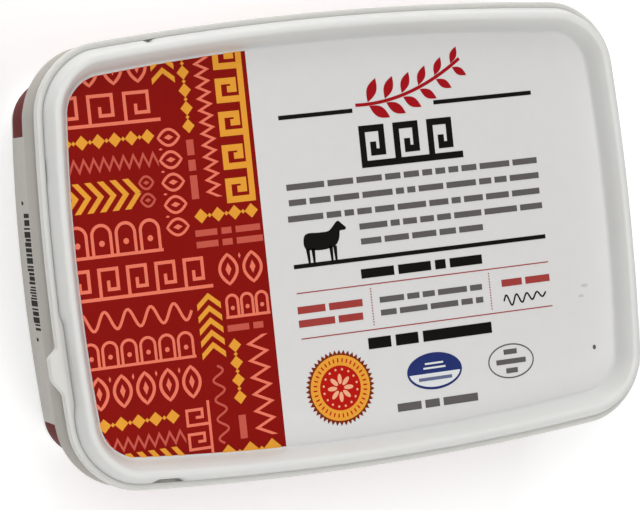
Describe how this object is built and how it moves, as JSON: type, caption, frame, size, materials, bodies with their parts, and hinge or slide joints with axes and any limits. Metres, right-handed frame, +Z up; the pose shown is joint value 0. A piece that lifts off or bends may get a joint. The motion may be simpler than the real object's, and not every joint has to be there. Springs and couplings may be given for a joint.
{
  "type": "cheese tub",
  "caption": "Shut rectangular plastic tub of white cheese in brine, with bowed sides, rounded corners, a shoulder below the rim, a plugged-in lid with a raised border, and a small lift tab.",
  "frame": {"origin": "on the table, under the middle of the bounding box", "axes": "+X along the long side, away from the lift tab's end; +Y towards the top of the printed panel; +Z up, out of the lid"},
  "size_m": [0.146, 0.1016, 0.0411],
  "materials": {
    "tub": "satin moulded polypropylene",
    "lid": "satin moulded polypropylene with an in-mould printed film on the panel"
  },
  "bodies": {
    "root": {"tub": "tub", "lid": "lid"}
  },
  "joints": []
}
